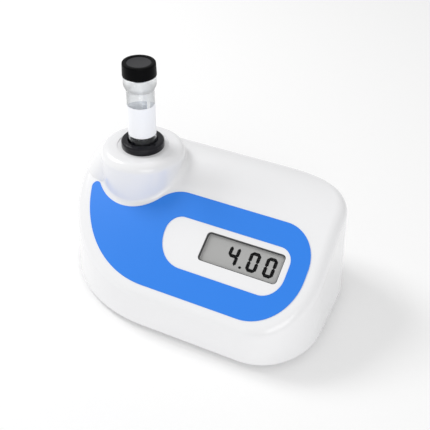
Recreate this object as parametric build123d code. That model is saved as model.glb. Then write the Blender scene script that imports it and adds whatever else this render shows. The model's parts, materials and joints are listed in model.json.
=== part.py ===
"""Bench densitometer for sample tubes: moulded housing, display, optical well, adapter and tube.

Millimetres, +Z up. The origin is the middle of the footprint, on the surface that the feet stand on.
+X points to the right of a person who reads the display, and +Y points to the back.
"""
from build123d import *
import math
import os

# Housing, outside
HOUSING_WIDTH = 165.0
HOUSING_DEPTH = 110.0
FOOT_STAND = 3.0
WALL = 2.5
WALL_DRAFT = 3.45
FRONT_HEIGHT = 20.75
PANEL_SLOPE = 30.3
PANEL_REACH = 57.0
CREST_RADIUS = 54.0
BLOCK_SPREAD = 15.0
EDGE_ROUND = 6.5
FRONT_LEFT_CORNER = (72.5, 66.4)
FRONT_RIGHT_CORNER = (33.1, 38.3)
BACK_RIGHT_CORNER = (48.4, 37.9)
BACK_LEFT_CORNER = (38.0, 41.9)

# Tube boss
TUBE_X = -44.4
TUBE_Y = 13.2
BOSS_HEIGHT = 71.1
BOSS_RADIUS = 24.8
BOSS_DRAFT = 0.5
BOSS_ROUND = 5.0
BOSS_FOOT_ROUND = 3.2
SHOULDER_RADIUS = 25.0
SHOULDER_TOP = 2.0
SHOULDER_DROP = 3.1
SHOULDER_FLARE = 0.72
SHOULDER_CROWN = 0.0075
SHOULDER_TUCK = 0.6
SHOULDER_BURY = 1.3
SHOULDER_SET_BACK = 0.15
SHOULDER_FRONT = (198.0, 236.0)
SHOULDER_BACK = (120.0, 82.0)
SHOULDER_STEP = 4.0
SHOULDER_SLICES = 7
SHOULDER_SPOKES = 36
SEAT_RADIUS = 15.2
SEAT_DEPTH = 0.4

# Front film and display window, in plan
FILM_THICK = 0.35
FILM_FRONT = 6.15
FILM_BACK = 57.35
FILM_RIGHT = 11.15
FILM_RIGHT_ROUND = 26.4
FILM_TOP_ROUND = 19.8
FILM_LEFT_ROUND = 58.2
FILM_LEFT_INSET = 12.0
FILM_BOSS_GAP = 27.2
FILM_TIP_ROUND = 2.6
FILM_NECK_ROUND = 20.0
FIELD_FRONT = 19.45
FIELD_BACK = 45.0
FIELD_LEFT = -13.0
FIELD_RIGHT = 61.2
FIELD_ROUNDS = (17.3, 8.2, 7.8, 10.9)
WINDOW_X = 34.55
WINDOW_WIDTH = 46.4
WINDOW_S = 39.7
WINDOW_HEIGHT = 17.6
WINDOW_ROUND = 2.3

# Display stack, measured down from the panel's face
BEZEL_FIT = 0.1
BEZEL_RIM = 0.3
BEZEL_SINK = 0.4
BEZEL_FLANGE = 2.6
BEZEL_FLANGE_THICK = 1.4
LENS_SINK = 1.4
LENS_THICK = 0.6
CELL_SINK = 2.1
LCD_THICK = 1.6
LCD_MARGIN = 1.6
PIN_COUNT = 12
PIN_PITCH = 3.6
PIN_SIDE = 0.5

# Main board
BOARD_WIDTH = 70.0
BOARD_LENGTH = 44.0
BOARD_THICK = 1.6
BOARD_DROP = 13.0
BOARD_POST_RADIUS = 3.2
BOARD_SCREW_RADIUS = 1.25
BOARD_SCREW_HEAD = 2.5
BOARD_SCREW_HEAD_THICK = 1.6
BOARD_SCREW_LENGTH = 8.0
BOARD_HOLE_INSET = 4.0
CHIP_SIDE = 12.0
CHIP_THICK = 1.4
CAPACITOR_RADIUS = 4.0
CAPACITOR_HEIGHT = 9.0
REGULATOR_SIZE = (10.0, 4.5, 9.0)
CRYSTAL_SIZE = (11.0, 4.6, 3.5)
HEADER_SIZE = (10.0, 5.6, 7.0)
CHIP_PLACE = (0.0, 0.08)
CAPACITOR_PLACE = (0.30, 0.22)
REGULATOR_PLACE = (0.30, -0.06)
CRYSTAL_PLACE = (-0.02, -0.20)
POWER_HEADER_PLACE = (-0.20, -0.25)
SENSOR_HEADER_PLACE = (-0.34, 0.20)

# Base plate, feet and screws
BASE_THICK = 2.5
BASE_FIT = 0.3
FOOT_RADIUS = 6.0
FOOT_POCKET = 0.5
FOOT_TAPER = 1.0
FOOT_PLACES = ((-48.0, -27.0), (60.0, -36.0), (58.0, 34.0), (-60.0, 30.0))
BASE_SCREW_RADIUS = 1.5
BASE_SCREW_HEAD = 2.9
BASE_SCREW_HEAD_THICK = 1.7
BASE_SCREW_LENGTH = 11.0
BASE_POST_RADIUS = 3.6
BASE_SCREW_PLACES = ((-30.0, -38.0), (70.0, 14.0), (40.0, 42.0), (-60.0, -20.0))

# Optical block and its well
BLOCK_WIDTH = 34.0
BLOCK_DEPTH = 28.0
BLOCK_HEIGHT = 42.0
BLOCK_ROUND = 3.0
NECK_RADIUS = 12.6
NECK_FIT = 0.2
COLLAR_RADIUS = 10.6
COLLAR_SINK = 0.3
WELL_RADIUS = 9.3
WELL_FLOOR = 17.0
TUBE_SEAT_THICK = 3.0
TUBE_SEAT_HOLE = 4.0
PORT_HEIGHT = 32.0
PORT_RADIUS = 2.5
PORT_WINDOW = 1.5
PORT_STOP = 2.0
BLOCK_SCREW_INSET = 5.0
BLOCK_SCREW_LENGTH = 10.0
SENSOR_BOARD = (20.0, 18.0)
SENSOR_BOARD_GAP = 3.0
SENSOR_SCREW_SPAN = 6.5
SENSOR_SCREW_LENGTH = 5.0
LED_FLANGE = 2.95
LED_FLANGE_THICK = 1.0
LED_FIT = 0.05
LED_BODY = 5.6
LEAD_SIDE = 0.5
LEAD_SPAN = 1.27

# Adapter, tube and cap
ADAPTER_FIT = 0.05
ADAPTER_FLANGE_RADIUS = 12.55
ADAPTER_FLANGE_HEIGHT = 4.0
ADAPTER_LENGTH = 36.0
ADAPTER_BEVEL = 0.8
ADAPTER_MOUTH = 0.6
TUBE_RADIUS = 8.0
TUBE_FIT = 0.08
TUBE_WALL = 1.0
TUBE_LENGTH = 103.5
TUBE_COLLAR_RADIUS = 9.25
TUBE_COLLAR_HEIGHT = 7.7
TUBE_COLLAR_SLANT = 2.4
TUBE_COLLAR_ROUND = 0.5
TUBE_NECK_RADIUS = 7.3
TUBE_NECK_HEIGHT = 5.0
TUBE_NECK_WALL = 1.4
LABEL_THICK = 0.1
LABEL_LOW = 82.5
LABEL_HIGH = 101.5
LABEL_SWEEP = 345.0
LIQUID_LEVEL = 66.0
LIQUID_FIT = 0.05
CAP_RADIUS = 9.6
CAP_TAPER = 0.25
CAP_HEIGHT = 7.7
CAP_ROUND = 0.8
CAP_DISH_RADIUS = 6.9
CAP_DISH_DEPTH = 0.5
CAP_GAP = 0.3
LINER_THICK = 1.0
LINER_FIT = 0.1

# Rear recess, power jack and rocker switch
RECESS_WIDTH = 58.0
RECESS_LOW = 9.0
RECESS_HIGH = 35.0
RECESS_DEPTH = 2.6
RECESS_X = 2.0
RECESS_ROUND = 3.0
REAR_HEIGHT = 22.0
JACK_X = -14.0
JACK_RADIUS = 4.0
JACK_FLANGE = 5.6
JACK_FLANGE_THICK = 1.2
JACK_LENGTH = 14.0
JACK_BORE = 2.85
JACK_BORE_DEPTH = 9.5
JACK_PIN = 1.05
JACK_PIN_LENGTH = 8.5
JACK_NUT_SIDE = 11.0
JACK_NUT_THICK = 2.0
SWITCH_X = 14.0
SWITCH_CUT = (19.0, 13.0)
SWITCH_FLANGE = 1.2
SWITCH_FLANGE_THICK = 1.2
SWITCH_BODY_LENGTH = 15.0
SWITCH_WALL = 1.2
SWITCH_FIT = 0.1
ROCKER_GAP = 0.35
ROCKER_PIVOT = 3.5
ROCKER_TILT = 8.0
ROCKER_RADIUS = 7.0
ROCKER_DISH = 1.2
ROCKER_BELLY = 4.2
ROCKER_PIN = 1.0
ROCKER_PIN_FIT = 0.05
TAB_SIZE = (4.8, 0.8, 7.0)
LEAD_RADIUS = 0.8
LEAD_PITCH = 2.0
LEAD_BEND = 3.0
LEAD_LOW = 10.0
LEAD_AISLE_Y = -9.0
LEAD_LEFT_X = -73.6
LEAD_BOARD_Y = 5.0
LEAD_SHORT_REACH = 8.0
LEAD_GROUND_REACH = 14.0
LEAD_LOW_REACH = 16.0
LEAD_STEP = 2.4

# Values worked out from the sizes above
RIM_Z = FOOT_STAND
FRONT_Y = -HOUSING_DEPTH / 2
BACK_Y = HOUSING_DEPTH / 2
LEFT_X = -HOUSING_WIDTH / 2
RIGHT_X = HOUSING_WIDTH / 2
SLOPE = math.radians(PANEL_SLOPE)
BOSS_TOP = RIM_Z + BOSS_HEIGHT
SEAT_Z = BOSS_TOP - SEAT_DEPTH
BASE_TOP = RIM_Z + BASE_THICK
PANEL_ORIGIN = (0.0, FRONT_Y, RIM_Z + FRONT_HEIGHT)
PANEL = Plane(origin=PANEL_ORIGIN, x_dir=(1, 0, 0), z_dir=(0, -math.sin(SLOPE), math.cos(SLOPE)))
CREST_START = (FRONT_Y + PANEL_REACH, RIM_Z + FRONT_HEIGHT + PANEL_REACH * math.tan(SLOPE))
CREST_CENTRE = (
    CREST_START[0] + CREST_RADIUS * math.sin(SLOPE),
    CREST_START[1] - CREST_RADIUS * math.cos(SLOPE),
)
TUBE_BOTTOM = WELL_FLOOR + TUBE_SEAT_THICK
TUBE_TOP = TUBE_BOTTOM + TUBE_LENGTH
COLLAR_TOP = TUBE_TOP - TUBE_NECK_HEIGHT
COLLAR_LOW = COLLAR_TOP - TUBE_COLLAR_HEIGHT
CAP_LOW = COLLAR_TOP + CAP_GAP
CAP_HIGH = CAP_LOW + CAP_HEIGHT
LCD_DROP = WALL + BEZEL_FLANGE_THICK
REAR_Y = BACK_Y - RECESS_DEPTH


def plan_face(inset, z):
    """Return the housing's plan outline, moved in by inset, as a face at height z."""
    corners = (
        (RIGHT_X, FRONT_Y, FRONT_RIGHT_CORNER, 270),
        (RIGHT_X, BACK_Y, BACK_RIGHT_CORNER, 0),
        (LEFT_X, BACK_Y, BACK_LEFT_CORNER, 90),
        (LEFT_X, FRONT_Y, FRONT_LEFT_CORNER, 180),
    )
    arcs = []
    for edge_x, edge_y, (reach_x, reach_y), start in corners:
        centre_x = edge_x - math.copysign(reach_x, edge_x)
        centre_y = edge_y - math.copysign(reach_y, edge_y)
        arc = EllipticalCenterArc(
            (centre_x, centre_y, z), reach_x - inset, reach_y - inset, start, arc_size=90
        )
        arcs.append(arc)
    lines = []
    for index, arc in enumerate(arcs):
        following = arcs[(index + 1) % len(arcs)]
        lines.append(Line(arc @ 1, following @ 0))
    return make_face(arcs + lines)


def walls(inset, top):
    """Return the drafted block that the plan outline makes, from the rim up to a height."""
    lean = (top - RIM_Z) * math.tan(math.radians(WALL_DRAFT))
    return loft([plan_face(inset, RIM_Z), plan_face(inset + lean, top)], ruled=True)


def side_block(inset):
    """Return the block under the sloping panel and the rolled crest, moved in by inset."""
    radius = CREST_RADIUS - inset
    start_angle = math.pi / 2 + SLOPE
    end_angle = math.acos((BACK_Y + BLOCK_SPREAD - CREST_CENTRE[0]) / radius)
    tangent = (
        CREST_CENTRE[0] + radius * math.cos(start_angle),
        CREST_CENTRE[1] + radius * math.sin(start_angle),
    )
    reach = PANEL_REACH + BLOCK_SPREAD
    front = (tangent[0] - reach, tangent[1] - reach * math.tan(SLOPE))
    middle_angle = (start_angle + end_angle) / 2
    middle = (
        CREST_CENTRE[0] + radius * math.cos(middle_angle),
        CREST_CENTRE[1] + radius * math.sin(middle_angle),
    )
    back = (
        CREST_CENTRE[0] + radius * math.cos(end_angle),
        CREST_CENTRE[1] + radius * math.sin(end_angle),
    )
    low = RIM_Z - BLOCK_SPREAD
    outline = [
        Line((0, *front), (0, *tangent)),
        ThreePointArc((0, *tangent), (0, *middle), (0, *back)),
        Line((0, *back), (0, back[0], low)),
        Line((0, back[0], low), (0, front[0], low)),
        Line((0, front[0], low), (0, *front)),
    ]
    return extrude(make_face(outline), amount=HOUSING_WIDTH, dir=(1, 0, 0), both=True)


def top_edges(shape):
    """Return the edges round the top of the main block, without the crest's own seam."""
    chosen = []
    for edge in shape.edges():
        box = edge.bounding_box()
        is_seam = box.size.Y < 0.01 and box.size.Z < 0.01 and box.size.X > HOUSING_WIDTH / 2
        at_top = box.min.Z > RIM_Z + FRONT_HEIGHT / 2
        if at_top and not (is_seam and abs(box.min.Y) < PANEL_REACH / 2):
            chosen.append(edge)
    return chosen


def main_block(inset):
    """Return the housing's main form with its top edge rounded, moved in by inset."""
    block = walls(inset, BOSS_TOP) & side_block(inset)
    return fillet(top_edges(block), EDGE_ROUND - inset)


def boss_block(inset):
    """Return the drafted round boss that carries the tube, moved in by inset."""
    top = BOSS_TOP - inset
    drop = top - RIM_Z - FRONT_HEIGHT
    radius = BOSS_RADIUS - inset
    spread = radius + drop * math.tan(math.radians(BOSS_DRAFT))
    side = Plane(origin=(TUBE_X, TUBE_Y, 0), x_dir=(1, 0, 0), z_dir=(0, -1, 0))
    outline = side * Polygon((0, top - drop), (spread, top - drop), (radius, top), (0, top), align=None)
    block = revolve(outline, Axis((TUBE_X, TUBE_Y, 0), (0, 0, 1)), 360)
    rim = block.edges().sort_by(Axis.Z)[-1]
    return fillet(rim, BOSS_ROUND - inset)


def smooth_step(value):
    """Return value held between 0 and 1 and eased at both ends."""
    held = min(1.0, max(0.0, value))
    return held * held * (3 - 2 * held)


def shoulder_share(angle):
    """Return how fully the shoulder stands out at an angle round the boss, from 0 to 1."""
    front_full, front_none = SHOULDER_FRONT
    back_full, back_none = SHOULDER_BACK
    front = smooth_step((front_none - angle) / (front_none - front_full))
    back = smooth_step((angle - back_none) / (back_full - back_none))
    return front * back


def shoulder_slice(z, inset, tuck):
    """Return the shoulder's plan shape at one height, drawn in by tuck."""
    drop = BOSS_TOP - inset - SHOULDER_DROP - z
    domed = SHOULDER_RADIUS + SHOULDER_FLARE * drop - SHOULDER_CROWN * drop * drop - inset - tuck
    steep = BOSS_RADIUS - SHOULDER_BURY - inset
    points = []
    for spoke in range(SHOULDER_SPOKES):
        angle = 360.0 * spoke / SHOULDER_SPOKES
        radius = steep + shoulder_share(angle) * (domed - steep)
        turn = math.radians(angle)
        points.append((TUBE_X + radius * math.cos(turn), TUBE_Y + radius * math.sin(turn), z))
    return make_face(Spline(points, periodic=True))


def shoulder_block(inset):
    """Return the domed shoulder that joins the boss to the housing's left and back walls."""
    top = BOSS_TOP - SHOULDER_TOP - inset
    slices = [shoulder_slice(top, inset, SHOULDER_TUCK)]
    for step in range(1, SHOULDER_SLICES):
        slices.insert(0, shoulder_slice(top - SHOULDER_STEP * step, inset, 0))
    return loft(slices) & walls(inset + SHOULDER_SET_BACK, BOSS_TOP)


def housing_form(inset):
    """Return the housing's whole form, moved in by inset, with a rounded boss foot outside."""
    form = main_block(inset) + boss_block(inset)
    if inset == 0:
        form = fillet(foot_edges(form), BOSS_FOOT_ROUND)
    return form + shoulder_block(inset)


def foot_edges(form):
    """Return the edges where the boss meets the panel and the crest."""
    chosen = []
    for edge in form.edges():
        places = [edge @ share for share in (0.0, 0.25, 0.5, 0.75, 1.0)]
        reach = [math.hypot(place.X - TUBE_X, place.Y - TUBE_Y) for place in places]
        is_round = min(reach) > BOSS_RADIUS - 2 and max(reach) < BOSS_RADIUS + 4
        is_foot = min(place.Z for place in places) > PANEL_ORIGIN[2] + EDGE_ROUND
        if is_round and is_foot and max(place.Z for place in places) < BOSS_TOP - BOSS_ROUND:
            chosen.append(edge)
    return chosen


def drum(radius, low, high, x=TUBE_X, y=TUBE_Y):
    """Return an upright cylinder between two heights."""
    return Pos(x, y, (low + high) / 2) * Cylinder(radius, high - low)


def on_panel(x, s, drop=0.0):
    """Return the place on the sloping panel, drop below its face, with its tilt."""
    return PANEL * Pos(x, s, -drop)


def board_places():
    """Return the board's four screw places, as x and distance up the panel."""
    reach_x = BOARD_WIDTH / 2 - BOARD_HOLE_INSET
    reach_s = BOARD_LENGTH / 2 - BOARD_HOLE_INSET
    return [(WINDOW_X + a * reach_x, WINDOW_S + b * reach_s) for a in (-1, 1) for b in (-1, 1)]


def make_top_housing():
    """Return the one-piece moulded housing with its posts, window, recess and openings."""
    outside = housing_form(0)
    inside = housing_form(WALL)
    shell = outside - inside
    recess_high = (RECESS_LOW + RECESS_HIGH) / 2
    recess_tall = RECESS_HIGH - RECESS_LOW
    pocket = Box(RECESS_WIDTH, 2 * RECESS_DEPTH, recess_tall)
    pocket = fillet(pocket.edges().filter_by(Axis.Y), RECESS_ROUND)
    pad = Box(RECESS_WIDTH + 2 * WALL, 2 * RECESS_DEPTH + 2 * WALL, recess_tall + 2 * WALL)
    pad = Pos(RECESS_X, BACK_Y, recess_high) * pad
    shell += pad & outside
    shell -= Pos(RECESS_X, BACK_Y, recess_high) * pocket
    for x, y in BASE_SCREW_PLACES:
        shell += drum(BASE_POST_RADIUS, BASE_TOP, BOSS_TOP, x, y) & outside
    for x, s in board_places():
        high = BOARD_DROP
        post = on_panel(x, s, high / 2) * Cylinder(BOARD_POST_RADIUS, high)
        shell += post & outside
    for x, y in BASE_SCREW_PLACES:
        shell -= drum(BASE_SCREW_RADIUS, 0, BASE_TOP + BASE_SCREW_LENGTH, x, y)
    for x, s in board_places():
        bore = BOARD_SCREW_LENGTH
        low = BOARD_DROP + BOARD_THICK
        shell -= on_panel(x, s, low - bore / 2) * Cylinder(BOARD_SCREW_RADIUS, bore)
    shell -= window_cut(0.0, 3 * WALL)
    shell -= drum(NECK_RADIUS + NECK_FIT, BOSS_TOP - WALL - 1, BOSS_TOP - WALL)
    shell -= drum(COLLAR_RADIUS + NECK_FIT, BOSS_TOP - 2 * WALL, BOSS_TOP + 1)
    shell -= drum(SEAT_RADIUS, BOSS_TOP - SEAT_DEPTH, BOSS_TOP + 1)
    shell -= rear_hole(JACK_X, JACK_RADIUS)
    cut = Box(SWITCH_CUT[1], 6 * WALL, SWITCH_CUT[0])
    shell -= Pos(SWITCH_X, REAR_Y, REAR_HEIGHT) * cut
    return shell


def window_cut(margin, depth):
    """Return the display opening's prism, grown by margin and centred on the panel's face."""
    width = WINDOW_WIDTH + 2 * margin
    height = WINDOW_HEIGHT + 2 * margin
    shape = RectangleRounded(width, height, WINDOW_ROUND + margin)
    return on_panel(WINDOW_X, WINDOW_S) * extrude(shape, amount=depth, both=True)


def rear_hole(x, radius):
    """Return a round cutter through the rear wall."""
    return Pos(x, REAR_Y, REAR_HEIGHT) * Rot(90, 0, 0) * Cylinder(radius, 6 * WALL)


def circle_meet(first, first_radius, second, second_radius, side):
    """Return the point where two circles in plan meet, on the given side of their centre line."""
    gap_x = second[0] - first[0]
    gap_y = second[1] - first[1]
    gap = math.hypot(gap_x, gap_y)
    along = (first_radius ** 2 - second_radius ** 2 + gap ** 2) / (2 * gap)
    across = side * math.sqrt(first_radius ** 2 - along ** 2)
    x = first[0] + (along * gap_x - across * gap_y) / gap
    y = first[1] + (along * gap_y + across * gap_x) / gap
    return (x, y)


def toward(start, end, distance):
    """Return the point at a distance from start on the way to end."""
    gap = math.hypot(end[0] - start[0], end[1] - start[1])
    share = distance / gap
    return (start[0] + share * (end[0] - start[0]), start[1] + share * (end[1] - start[1]))


def arc_between(centre, radius, start, end):
    """Return the shorter arc about a centre between two points on its circle."""
    mean = ((start[0] + end[0]) / 2, (start[1] + end[1]) / 2)
    return ThreePointArc(start, toward(centre, mean, radius), end)


def film_outline():
    """Return the front film's plan outline: a body with a long tail round the boss."""
    low = FRONT_Y + FILM_FRONT
    high = FRONT_Y + FILM_BACK
    right = RIGHT_X - FILM_RIGHT
    boss = (TUBE_X, TUBE_Y)
    left = (LEFT_X + FILM_LEFT_INSET + FILM_LEFT_ROUND, low + FILM_LEFT_ROUND)
    neck_y = high - FILM_NECK_ROUND
    neck_gap = FILM_BOSS_GAP + FILM_NECK_ROUND
    neck = (TUBE_X + math.sqrt(neck_gap ** 2 - (TUBE_Y - neck_y) ** 2), neck_y)
    tip_left = FILM_LEFT_ROUND - FILM_TIP_ROUND
    tip = circle_meet(left, tip_left, boss, FILM_BOSS_GAP + FILM_TIP_ROUND, 1)
    tip_out = toward(left, tip, FILM_LEFT_ROUND)
    tip_in = toward(boss, tip, FILM_BOSS_GAP)
    neck_in = toward(boss, neck, FILM_BOSS_GAP)
    tip_top = (tip[0], tip[1] + FILM_TIP_ROUND)
    middle_x = (tip_in[0] + neck_in[0]) / 2
    middle_y = (tip_in[1] + neck_in[1]) / 2
    boss_low_turn = math.atan2(middle_y - boss[1], middle_x - boss[0])
    boss_low = (
        boss[0] + FILM_BOSS_GAP * math.cos(boss_low_turn),
        boss[1] + FILM_BOSS_GAP * math.sin(boss_low_turn),
    )
    lower = (right - FILM_RIGHT_ROUND, low + FILM_RIGHT_ROUND)
    upper = (right - FILM_TOP_ROUND, high - FILM_TOP_ROUND)
    return make_face([
        Line((left[0], low), (lower[0], low)),
        arc_between(lower, FILM_RIGHT_ROUND, (lower[0], low), (right, lower[1])),
        Line((right, lower[1]), (right, upper[1])),
        arc_between(upper, FILM_TOP_ROUND, (right, upper[1]), (upper[0], high)),
        Line((upper[0], high), (neck[0], high)),
        arc_between(neck, FILM_NECK_ROUND, (neck[0], high), neck_in),
        ThreePointArc(neck_in, boss_low, tip_in),
        ThreePointArc(tip_in, tip_top, tip_out),
        arc_between(left, FILM_LEFT_ROUND, tip_out, (left[0], low)),
    ])


def field_outline():
    """Return the plan outline of the film's opening, which shows the housing round the display."""
    low = FRONT_Y + FIELD_FRONT
    high = FRONT_Y + FIELD_BACK
    low_left, high_left, high_right, low_right = FIELD_ROUNDS
    corners = (
        (FIELD_LEFT, low, low_left),
        (FIELD_LEFT, high, high_left),
        (FIELD_RIGHT, high, high_right),
        (FIELD_RIGHT, low, low_right),
    )
    outline = Polygon(*[(x, y) for x, y, _ in corners], align=None)
    for x, y, radius in corners:
        corner = outline.vertices().sort_by_distance((x, y, 0))[0]
        outline = fillet(corner, radius)
    return outline


def make_front_film():
    """Return the thin printed film on the panel."""
    tall = extrude(film_outline() - field_outline(), amount=BOSS_TOP)
    sheet = PANEL * Pos(0, HOUSING_DEPTH / 2, FILM_THICK / 2)
    return tall & (sheet * Box(2 * HOUSING_WIDTH, 2 * HOUSING_DEPTH, FILM_THICK))


def make_display_bezel():
    """Return the dark frame that fills the window's edge and holds the display from below."""
    depth = WALL - BEZEL_SINK
    outer = RectangleRounded(
        WINDOW_WIDTH - 2 * BEZEL_FIT, WINDOW_HEIGHT - 2 * BEZEL_FIT, WINDOW_ROUND - BEZEL_FIT
    )
    collar = on_panel(WINDOW_X, WINDOW_S, BEZEL_SINK) * extrude(outer, amount=-depth)
    flange = Rectangle(WINDOW_WIDTH + 2 * BEZEL_FLANGE, WINDOW_HEIGHT + 2 * BEZEL_FLANGE)
    plate = on_panel(WINDOW_X, WINDOW_S, WALL) * extrude(flange, amount=-BEZEL_FLANGE_THICK)
    return collar + plate - window_cut(-BEZEL_FIT - BEZEL_RIM, 3 * WALL)


def bezel_filling(sink, thick):
    """Return a plate that fills the bezel's opening, from sink below the panel's face."""
    edge = BEZEL_FIT + BEZEL_RIM
    pane = RectangleRounded(WINDOW_WIDTH - 2 * edge, WINDOW_HEIGHT - 2 * edge, WINDOW_ROUND - edge)
    return on_panel(WINDOW_X, WINDOW_S, sink) * extrude(pane, amount=-thick)


def make_display_lens():
    """Return the clear pane inside the bezel."""
    return bezel_filling(LENS_SINK, LENS_THICK)


def make_lcd_glass():
    """Return the liquid-crystal cell: its face in the bezel, and its wider back under it."""
    sheet = Rectangle(WINDOW_WIDTH + 2 * LCD_MARGIN, WINDOW_HEIGHT + 2 * LCD_MARGIN)
    back = on_panel(WINDOW_X, WINDOW_S, LCD_DROP) * extrude(sheet, amount=-LCD_THICK)
    return back + bezel_filling(CELL_SINK, LCD_DROP - CELL_SINK)


def make_lcd_pins():
    """Return the two rows of pins between the display and the board."""
    low = BOARD_DROP
    high = LCD_DROP + LCD_THICK
    pins = []
    for side in (-1, 1):
        s = WINDOW_S + side * (WINDOW_HEIGHT / 2 + LCD_MARGIN - PIN_SIDE)
        for index in range(PIN_COUNT):
            x = WINDOW_X + (index - (PIN_COUNT - 1) / 2) * PIN_PITCH
            pin = Box(PIN_SIDE, PIN_SIDE, low - high)
            pins.append(on_panel(x, s, (low + high) / 2) * pin)
    return pins


def make_main_board():
    """Return the circuit board, parallel to the panel, with its screw holes."""
    board = Rectangle(BOARD_WIDTH, BOARD_LENGTH)
    plate = on_panel(WINDOW_X, WINDOW_S, BOARD_DROP) * extrude(board, amount=-BOARD_THICK)
    for x, s in board_places():
        hole = Cylinder(BOARD_SCREW_RADIUS, 4 * BOARD_THICK)
        plate -= on_panel(x, s, BOARD_DROP + BOARD_THICK / 2) * hole
    return plate


def make_board_screws():
    """Return the four screws that hold the board to the housing's posts."""
    screws = []
    under = BOARD_DROP + BOARD_THICK
    for x, s in board_places():
        shank = on_panel(x, s, under - BOARD_SCREW_LENGTH / 2) * Cylinder(
            BOARD_SCREW_RADIUS, BOARD_SCREW_LENGTH
        )
        head = on_panel(x, s, under + BOARD_SCREW_HEAD_THICK / 2) * Cylinder(
            BOARD_SCREW_HEAD, BOARD_SCREW_HEAD_THICK
        )
        screws.append(shank + head)
    return screws


def under_board(x_share, s_share, height):
    """Return the tilted place of a part that stands on the board's lower side."""
    x = WINDOW_X + x_share * BOARD_WIDTH
    s = WINDOW_S + s_share * BOARD_LENGTH
    return on_panel(x, s, BOARD_DROP + BOARD_THICK + height / 2)


def make_microcontroller():
    """Return the processor package under the board."""
    chip = Box(CHIP_SIDE, CHIP_SIDE, CHIP_THICK)
    chip = chamfer(chip.edges().filter_by(Axis.Z), CHIP_THICK / 2)
    return under_board(*CHIP_PLACE, CHIP_THICK) * chip


def make_capacitor():
    """Return the smoothing capacitor under the board."""
    can = Cylinder(CAPACITOR_RADIUS, CAPACITOR_HEIGHT)
    can = fillet(can.edges().sort_by(Axis.Z)[0], CAPACITOR_RADIUS / 8)
    return under_board(*CAPACITOR_PLACE, CAPACITOR_HEIGHT) * can


def make_regulator():
    """Return the voltage regulator under the board."""
    width, depth, height = REGULATOR_SIZE
    body = chamfer(Box(width, depth, height).edges().filter_by(Axis.Z), depth / 8)
    return under_board(*REGULATOR_PLACE, height) * body


def make_crystal():
    """Return the oscillator can under the board."""
    width, depth, height = CRYSTAL_SIZE
    can = fillet(Box(width, depth, height).edges().filter_by(Axis.Z), depth / 3)
    return under_board(*CRYSTAL_PLACE, height) * can


def make_headers():
    """Return the two lead sockets under the board, open at their lower ends."""
    width, depth, height = HEADER_SIZE
    sockets = []
    for x_share, s_share in (POWER_HEADER_PLACE, SENSOR_HEADER_PLACE):
        mouth = Pos(0, 0, -height / 4) * Box(depth / 2, 0.8 * width, height / 2)
        shell = Box(depth, width, height) - mouth
        sockets.append(under_board(x_share, s_share, height) * shell)
    return sockets


def make_base_plate():
    """Return the flat bottom cover with foot pockets and countersunk holes."""
    inset = WALL + BASE_FIT
    plate = extrude(plan_face(inset, RIM_Z), amount=BASE_THICK)
    for x, y in FOOT_PLACES:
        plate -= drum(FOOT_RADIUS, RIM_Z - 1, RIM_Z + FOOT_POCKET, x, y)
    for x, y in BASE_SCREW_PLACES + block_screw_places():
        plate -= drum(BASE_SCREW_RADIUS, 0, BASE_TOP + 1, x, y)
        plate -= screw_head(x, y)
    return plate


def screw_head(x, y):
    """Return a countersunk head whose flat side lies level with the base plate."""
    cone = Cone(BASE_SCREW_HEAD, BASE_SCREW_RADIUS, BASE_SCREW_HEAD_THICK)
    return Pos(x, y, RIM_Z + BASE_SCREW_HEAD_THICK / 2) * cone


def make_feet():
    """Return the four rubber feet in their pockets."""
    feet = []
    for x, y in FOOT_PLACES:
        pad = drum(FOOT_RADIUS, 0, FOOT_STAND + FOOT_POCKET, x, y)
        feet.append(chamfer(pad.edges().sort_by(Axis.Z)[0], FOOT_TAPER))
    return feet


def flat_screws(places, length):
    """Return countersunk screws that enter upwards from the base plate's lower face."""
    screws = []
    slot = Box(2 * BASE_SCREW_HEAD, BASE_SCREW_RADIUS / 3, BASE_SCREW_RADIUS / 2)
    for x, y in places:
        body = screw_head(x, y) + drum(BASE_SCREW_RADIUS, RIM_Z, BASE_TOP + length, x, y)
        screws.append(body - Pos(x, y, RIM_Z) * slot)
    return screws


def block_screw_places():
    """Return the two screw places under the optical block."""
    reach = BLOCK_WIDTH / 2 - BLOCK_SCREW_INSET
    return ((TUBE_X - reach, TUBE_Y), (TUBE_X + reach, TUBE_Y))


def make_optical_block():
    """Return the dark block that holds the well and the two light ports."""
    low = BASE_TOP
    block = Pos(TUBE_X, TUBE_Y, low + BLOCK_HEIGHT / 2) * Box(BLOCK_WIDTH, BLOCK_DEPTH, BLOCK_HEIGHT)
    block = fillet(block.edges().filter_by(Axis.Z), BLOCK_ROUND)
    block += drum(NECK_RADIUS, low + BLOCK_HEIGHT, BOSS_TOP - WALL)
    block += drum(COLLAR_RADIUS, BOSS_TOP - WALL - 1, SEAT_Z - COLLAR_SINK)
    block -= drum(WELL_RADIUS, WELL_FLOOR, BOSS_TOP)
    across = Pos(TUBE_X, TUBE_Y, PORT_HEIGHT) * Rot(0, 90, 0)
    block -= across * Cylinder(PORT_WINDOW, BLOCK_WIDTH)
    for side in (-1, 1):
        depth = BLOCK_WIDTH / 2 - WELL_RADIUS - PORT_STOP
        middle = side * (BLOCK_WIDTH / 2 - depth / 2)
        block -= Pos(TUBE_X + middle, TUBE_Y, PORT_HEIGHT) * Rot(0, 90, 0) * Cylinder(PORT_RADIUS, depth)
        for x, y, z in sensor_screw_places(side):
            block -= Pos(x, y, z) * Rot(0, 90, 0) * Cylinder(BOARD_SCREW_RADIUS, 2 * SENSOR_SCREW_LENGTH)
    for x, y in block_screw_places():
        block -= drum(BASE_SCREW_RADIUS, low - 1, low + BLOCK_SCREW_LENGTH, x, y)
    return block


def sensor_screw_places(side):
    """Return the two screw places on one side face of the optical block."""
    x = TUBE_X + side * BLOCK_WIDTH / 2
    return [(x, TUBE_Y, PORT_HEIGHT + step * SENSOR_SCREW_SPAN) for step in (-1, 1)]


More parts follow.
